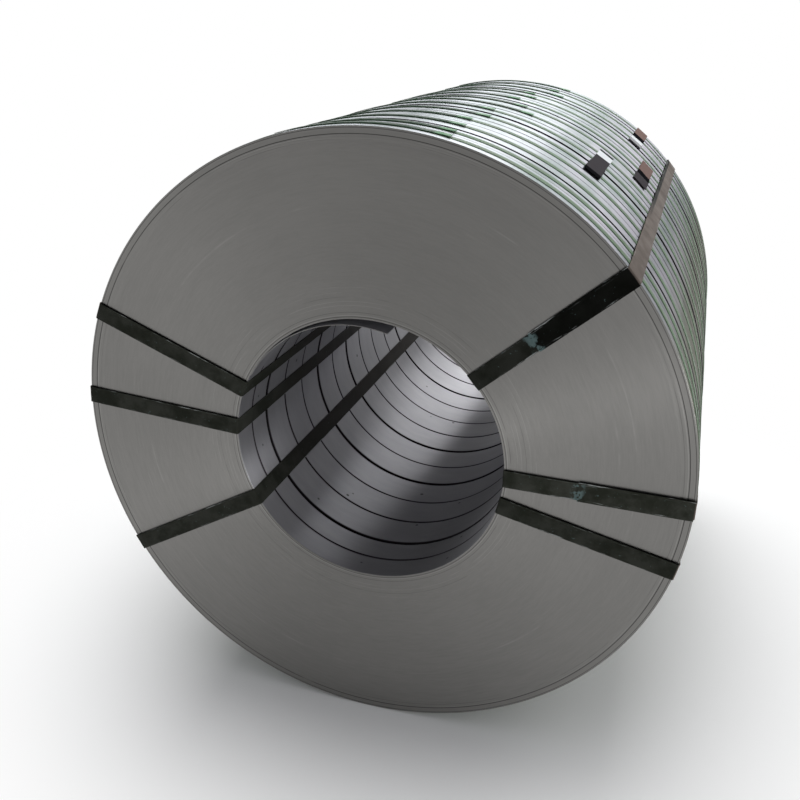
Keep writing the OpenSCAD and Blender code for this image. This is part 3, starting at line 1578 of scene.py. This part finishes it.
@dataclass
class TieClamp:
    """The crimped sleeve over a tie plate's front end."""

    bundle: Bundle
    plate_width: float
    plate_thickness: float
    length: float = 0.095
    height: float = 0.0011
    gap_share: float = 0.4      # the share of its height that is space over the plate
    side_room: float = 0.0006
    fold: float = 0.0012
    cuts: int = 26
    crimps: tuple[float, ...] = (0.028, 0.064)
    crimp_reach: float = 0.003
    crimp_depth: float = 0.0026
    crimp_press: float = 0.0003

    def build(self) -> Piece:
        """Fold a sleeve and crimp its sides.

        Returns:
            The clamp at angle 0, with its front end at depth 0.
        """
        top = self.bundle.band_top + self.plate_thickness + self.height * self.gap_share
        half = self.plate_width / 2 + self.side_room
        centre = (top, self.length / 2, 0)
        clamp = Bench.add_plane("tie_clamp", centre, (2 * half, self.length), Lie.OUTSIDE)
        with Bench.shaping(clamp):
            Bench.pick(clamp, Part.EDGE, self.is_long)
            bpy.ops.mesh.extrude_region_move(TRANSFORM_OT_translate={"value": (-self.fold, 0, 0)})
            Bench.pick(clamp, Part.EDGE, self.is_long)
            bpy.ops.mesh.subdivide(number_cuts=self.cuts)
            for crimp in self.crimps:
                for side in (-1, 1):
                    Bench.pick(clamp, Part.VERT, lambda v: abs(v.co.y - crimp) < self.crimp_reach
                               and v.co.z * side > half - self.crimp_press)
                    bpy.ops.transform.translate(value=(-self.crimp_press, 0, -side * self.crimp_depth))
            Bench.close_up()
        Bench.thicken(clamp, self.height * (1 - self.gap_share))
        return clamp

    def is_long(self, edge: bmesh.types.BMEdge) -> bool:
        """Say whether an edge runs along the sleeve."""
        return edge.calc_length() > self.length / 2


@dataclass
class TiePlate:
    """A short plate that ties neighbouring coils together, with the clamp over its front end."""

    bundle: Bundle
    number: int
    degrees: float
    finish: TieSteel
    width: float = 0.034
    thickness: float = 0.0009
    cuts: int = 20
    ripple: float = 0.0003
    ripple_seed: int = 70

    @property
    def node(self) -> str:
        """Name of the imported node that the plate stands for."""
        return f"tie_plate_{self.number}"

    def build(self, clamp: Piece) -> Piece:
        """Lay the plate on the bands and a copy of the clamp over its front end.

        Args:
            clamp: the clamp to copy.

        Returns:
            The finished tie plate.
        """
        low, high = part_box(self.node)
        length = high[1] - low[1]
        centre = (self.bundle.band_top, (low[1] + high[1]) / 2, 0)
        plate = Bench.add_plane(f"tie_strip_{self.number}", centre, (self.width, length), Lie.OUTSIDE)
        with Bench.shaping(plate):
            Bench.pick(plate, Part.EDGE, lambda edge: edge.calc_length() > length / 2)
            bpy.ops.mesh.subdivide(number_cuts=self.cuts)
            Bench.ripple(self.ripple, self.ripple_seed + self.number)
        Bench.thicken(plate, self.thickness)
        sleeve = Bench.copy(clamp, f"tie_clamp_{self.number}")
        Bench.slide(sleeve, low[1])
        piece = Bench.join([plate, sleeve])
        Bench.set_down(piece, self.bundle, self.degrees)
        return piece

    def dress(self, piece: Piece) -> None:
        """Give the plate its own steel.

        Args:
            piece: the finished tie plate.
        """
        low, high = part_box(self.node)
        steel = self.finish.material(low[1], high[1] - low[1])
        Bench.dress(piece, steel, "tie_steel", self.node)


@dataclass(frozen=True)
class Lamp:
    """One soft rectangular light."""

    name: str
    place: Place
    aim: Place
    size: Pair
    watts: float

    def hang(self) -> None:
        """Hang the light and point it."""
        Bench.clear()
        turn = (Vector(self.aim) - Vector(self.place)).to_track_quat("-Z", "Y").to_euler()
        bpy.ops.object.light_add(type="AREA", location=self.place, rotation=turn)
        light = bpy.context.object
        light.name = self.name
        light.data.shape = "RECTANGLE"
        light.data.size, light.data.size_y = self.size
        light.data.energy = self.watts


@dataclass
class Studio:
    """White floor, white surroundings low down, soft lights and the camera."""

    bundle: Bundle
    floor_size: float = 80.0
    ambient: float = 0.5
    ambient_tint: Colour = (0.93, 0.95, 1.0)
    white: Colour = (1.0, 1.0, 1.0)
    ceiling: float = 0.2
    white_below: float = 0.16
    ceiling_above: float = 0.32
    lens: float = 40.9
    sensor: float = 36.0
    camera_at: Place = (0.5139, -1.9688, 1.3002)
    camera_looks: Place = (-0.2843, 0.8766, -0.3884)

    def build_camera(self) -> None:
        """Stand the camera where the photograph was taken."""
        turn = Vector(self.camera_looks).to_track_quat("-Z", "Y").to_euler()
        bpy.ops.object.camera_add(location=self.camera_at, rotation=turn)
        camera = bpy.context.object
        camera.name = "camera"
        camera.data.lens = self.lens
        camera.data.sensor_width = self.sensor
        bpy.context.scene.camera = camera
        bpy.context.scene.view_settings.view_transform = "Standard"

    def build_floor(self) -> None:
        """Lay the floor."""
        floor = Bench.add_plane("floor", (0, 0, 0), (self.floor_size, self.floor_size), Lie.PROFILE)
        floor.data.materials.append(FloorPaint().material())

    def build_world(self) -> None:
        """Fill the surroundings with even light, and show them white low down under a grey ceiling."""
        world = bpy.data.worlds.new("studio")
        bpy.context.scene.world = world
        world.use_nodes = True
        nodes, link = world.node_tree.nodes, world.node_tree.links.new
        even, shown = nodes["Background"], nodes.new("ShaderNodeBackground")
        even.inputs["Color"].default_value = (*self.ambient_tint, 1.0)
        even.inputs["Strength"].default_value = self.ambient
        shown.inputs["Color"].default_value = (*self.white, 1.0)
        apart, height = nodes.new("ShaderNodeSeparateXYZ"), nodes.new("ShaderNodeMapRange")
        link(nodes.new("ShaderNodeTexCoord").outputs["Generated"], apart.inputs[0])
        link(apart.outputs["Z"], height.inputs["Value"])
        height.interpolation_type = "SMOOTHSTEP"
        for key, value in (("From Min", self.white_below), ("From Max", self.ceiling_above),
                           ("To Min", 1.0), ("To Max", self.ceiling)):
            height.inputs[key].default_value = value
        link(height.outputs[0], shown.inputs["Strength"])
        share: Any = None
        rays = nodes.new("ShaderNodeLightPath").outputs
        for ray in SEEN_RAYS:
            either = nodes.new("ShaderNodeMath")
            either.operation = "MAXIMUM"
            link(rays[ray], either.inputs[0])
            if share:
                link(share, either.inputs[1])
            share = either.outputs[0]
        mix = nodes.new("ShaderNodeMixShader")
        for source, socket in zip((share, even.outputs[0], shown.outputs[0]), mix.inputs):
            link(source, socket)
        link(mix.outputs[0], nodes["World Output"].inputs["Surface"])

    def build_lights(self) -> None:
        """Hang the studio's soft lights."""
        middle = (0, 0, self.bundle.axis_z)
        for lamp in (
            Lamp("overhead", (-0.7, 1.7, 4.4), (0, 1.7, 0), (4.4, 4.4), 200),
            Lamp("right_side", (4.8, -1.6, 0.7), middle, (2.4, 1.3), 65),
            Lamp("through_eye", (-0.35, 5.5, 0.75), middle, (1.1, 0.9), 55),
            Lamp("behind", (1.1, 4.6, 3.4), middle, (5.0, 2.6), 100),
        ):
            lamp.hang()

    def build(self) -> None:
        """Set up the camera, the floor and the light."""
        self.build_camera()
        self.build_floor()
        self.build_world()
        self.build_lights()


def coil_radii(bundle: Bundle, slack: float = 0.0022, seed: int = 3) -> list[float]:
    """Give each coil its own outside radius, a little under the bundle's.

    Args:
        bundle: the bundle's sizes.
        slack: the most that a coil falls short.
        seed: the radii to take.

    Returns:
        One radius for each coil, from the front.
    """
    chance = random.Random(seed)
    shorts = [chance.uniform(0, slack) for _ in range(bundle.coil_count)]
    shorts[0] = 0.0
    return [bundle.coil_r - short for short in shorts]


def build_coils(bundle: Bundle, radii: list[float]) -> None:
    """Wind every slit coil and the front coil's lead end.

    Args:
        bundle: the bundle's sizes.
        radii: each coil's outside radius.
    """
    steel = StripSteel(bundle).material()
    for number, radius in enumerate(radii, 1):
        coil = SlitCoil(bundle, number, radius)
        Bench.dress(coil.build(), steel, "strip_steel", coil.node)
    Bench.dress(LeadEnd(bundle).build(), steel, "strip_steel")


def build_bands(bundle: Bundle, radii: list[float], seed: int = 5) -> None:
    """Put a plastic band round every coil, each with its free end at its own angle.

    Args:
        bundle: the bundle's sizes.
        radii: each coil's outside radius.
        seed: the angles to take.
    """
    plastic = BandPlastic(bundle).material()
    low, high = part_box("band_1")
    band = PlasticBand(bundle, high[1] - low[1])
    pattern = band.build()
    chance = random.Random(seed)
    for number, radius in enumerate(radii, 1):
        low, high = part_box(f"band_{number}")
        piece = Bench.copy(pattern, f"plastic_band_{number}")
        degrees = band.free_end_at + chance.uniform(-band.free_end_scatter, band.free_end_scatter)
        Bench.set_down(piece, bundle, degrees, (low[1] + high[1]) / 2, radius / bundle.coil_r)
        Bench.dress(piece, plastic, "band_plastic", f"band_{number}")
    bpy.data.objects.remove(pattern)


def build_straps(bundle: Bundle) -> None:
    """Bind the bundle with its steel straps.

    Args:
        bundle: the bundle's sizes.
    """
    plans = (
        (40.0, StrapEnds.OILED_LAP),
        (-1.6, StrapEnds.LAPPED),
        (-13.8, StrapEnds.HIDDEN),
        (157.3, StrapEnds.HIDDEN),
        (175.3, StrapEnds.HIDDEN),
        (209.0, StrapEnds.HIDDEN),
    )
    pattern = StrapPattern(bundle)
    steel = {ends: StrapSteel(bundle, ends, pattern.lap_r).material() for ends in StrapEnds}
    belt, lap = pattern.lay_belt(), pattern.lay_lap()
    for number, (degrees, ends) in enumerate(plans, 1):
        strap = SteelStrap(pattern, number, degrees, ends)
        Bench.dress(strap.build(belt, lap), steel[ends], "strap_steel", strap.node)
    for spare in (belt, lap):
        bpy.data.objects.remove(spare)


def build_ties(bundle: Bundle) -> None:
    """Lay the tie plates over the coils that they hold.

    Args:
        bundle: the bundle's sizes.
    """
    black, grey, brown = TieTone.BLACK, TieTone.GREY, TieTone.BROWN
    white, pale = TieTone.WHITE, TieTone.PALE
    plans = (
        (55.0, ((0.0, black), (0.1, grey), (0.7, black), (0.73, white), (0.94, black))),
        (46.0, ((0.0, grey), (0.3, black), (0.5, brown))),
        (51.5, ((0.0, pale), (0.14, white), (0.3, black), (0.55, brown))),
    )
    clamp = TieClamp(bundle, TiePlate.width, TiePlate.thickness).build()
    for number, (degrees, stretches) in enumerate(plans, 1):
        plate = TiePlate(bundle, number, degrees, TieSteel(f"tie_steel_{number}", stretches))
        plate.dress(plate.build(clamp))
    bpy.data.objects.remove(clamp)


def main() -> None:
    """Build the studio and every piece of the bundle, in order."""
    logging.basicConfig(level=logging.INFO, format="%(name)s: %(message)s")
    bundle = Bundle.from_frame()
    Studio(bundle).build()
    radii = coil_radii(bundle)
    build_coils(bundle, radii)
    build_bands(bundle, radii)
    build_straps(bundle)
    build_ties(bundle)


if __name__ == "__main__":
    main()
